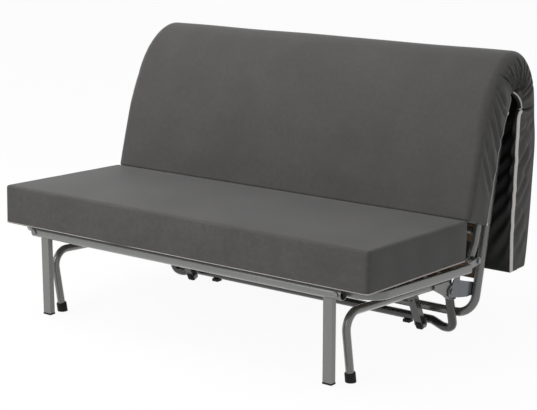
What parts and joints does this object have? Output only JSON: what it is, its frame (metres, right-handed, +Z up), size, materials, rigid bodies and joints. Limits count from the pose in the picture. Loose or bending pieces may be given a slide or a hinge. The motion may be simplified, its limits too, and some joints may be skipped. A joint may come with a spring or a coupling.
{
  "type": "click clack sofa bed",
  "caption": "Zigzag fold-out sofa bed: foam mattress in a dark cover on a slatted tube frame that unfolds forward into a flat bed.",
  "frame": {"origin": "on the floor, under the middle of the whole sofa", "axes": "+X to the side along the seat (the right side of the picture), +Y to the rear, +Z up"},
  "size_m": [1.4, 0.9462, 0.884],
  "materials": {
    "grey_paint": "satin silver-grey powder coat",
    "dark_paint": "satin dark grey powder coat",
    "zinc": "bright zinc plate",
    "rubber": "matte black",
    "birch": "clear-coated bent plywood",
    "cover": "charcoal woven cover, slightly brushed"
  },
  "bodies": {
    "base": {"base_side_left": "grey_paint", "base_side_right": "grey_paint", "foot_left": "rubber", "foot_right": "rubber", "gusset_left": "grey_paint", "gusset_right": "grey_paint", "roller_channel_left": "dark_paint", "roller_channel_right": "dark_paint", "roller_axle_left": "zinc", "roller_axle_right": "zinc", "rear_hoop": "grey_paint", "base_tie": "grey_paint", "hoop_pad_left": "rubber", "hoop_pad_right": "rubber", "base_pivot_left": "zinc", "base_pivot_right": "zinc"},
    "rear_frame": {"rear_u_tube": "grey_paint", "rear_slat_1": "birch", "rear_slat_2": "birch", "rear_slat_3": "birch", "rear_slat_4": "birch", "rear_slat_5": "birch", "pivot_plate_left": "grey_paint", "pivot_plate_right": "grey_paint", "top_pivot_left": "zinc", "top_pivot_right": "zinc"},
    "back_frame": {"back_rail_left": "grey_paint", "back_rail_right": "grey_paint", "back_lower_cross": "grey_paint", "back_upper_cross": "grey_paint", "back_slat_1": "birch", "back_slat_2": "birch", "back_slat_3": "birch", "back_slat_4": "birch"},
    "seat_frame": {"front_rail": "grey_paint", "seat_cross": "grey_paint", "seat_side_left": "grey_paint", "seat_side_right": "grey_paint", "rail_bolt_left": "zinc", "rail_bolt_right": "zinc", "seat_hinge_left": "grey_paint", "seat_hinge_right": "grey_paint", "seat_pivot_left": "zinc", "seat_pivot_right": "zinc", "front_leg_left": "grey_paint", "front_leg_right": "grey_paint", "leg_cap_left": "rubber", "leg_cap_right": "rubber", "seat_slat_1": "birch", "seat_slat_2": "birch", "seat_slat_3": "birch", "seat_slat_4": "birch", "seat_slat_5": "birch", "seat_mattress": "cover"},
    "back_mattress": {"back_mattress": "cover", "top_fold": "cover"},
    "rear_mattress": {"rear_mattress": "cover"},
    "roller_left": {"roller_left": "rubber"},
    "roller_right": {"roller_right": "rubber"}
  },
  "joints": [
    {"name": "rear_fold", "type": "hinge", "parent": "base", "child": "rear_frame", "pos_m": [0, 0.1545, 0.152], "axis": [1, 0, 0], "range_deg": [0, 103]},
    {"name": "back_fold", "type": "hinge", "parent": "rear_frame", "child": "back_frame", "pos_m": [0, 0.34206, 0.712], "axis": [1, 0, 0], "range_deg": [-177.55, 0]},
    {"name": "seat_fold", "type": "hinge", "parent": "back_frame", "child": "seat_frame", "pos_m": [0, 0.16203, 0.262], "axis": [1, 0, 0], "range_deg": [0, 74.55]},
    {"name": "back_slide", "type": "slide", "parent": "back_frame", "child": "back_mattress", "axis": [0, -0.2672, -0.9636], "range_m": [0, 0.20833]},
    {"name": "rear_panel_fold", "type": "hinge", "parent": "back_mattress", "child": "rear_mattress", "pos_m": [0, 0.33271, 0.88946], "axis": [1, 0, 0], "range_deg": [0, 164.55], "deforming": ["top_fold"]},
    {"name": "roller_left_spin", "type": "hinge", "parent": "base", "child": "roller_left", "pos_m": [-0.47, 0.1825, 0.018], "axis": [1, 0, 0], "continuous": true},
    {"name": "roller_right_spin", "type": "hinge", "parent": "base", "child": "roller_right", "pos_m": [0.47, 0.1825, 0.018], "axis": [1, 0, 0], "continuous": true}
  ],
  "couplings": [
    {"joint": "back_fold", "follows": "rear_fold", "ratio": -1.7233},
    {"joint": "seat_fold", "follows": "rear_fold", "ratio": 0.7233},
    {"joint": "back_slide", "follows": "rear_fold", "m_per_rad": 0.11578},
    {"joint": "rear_panel_fold", "follows": "rear_fold", "ratio": 1.5971}
  ]
}
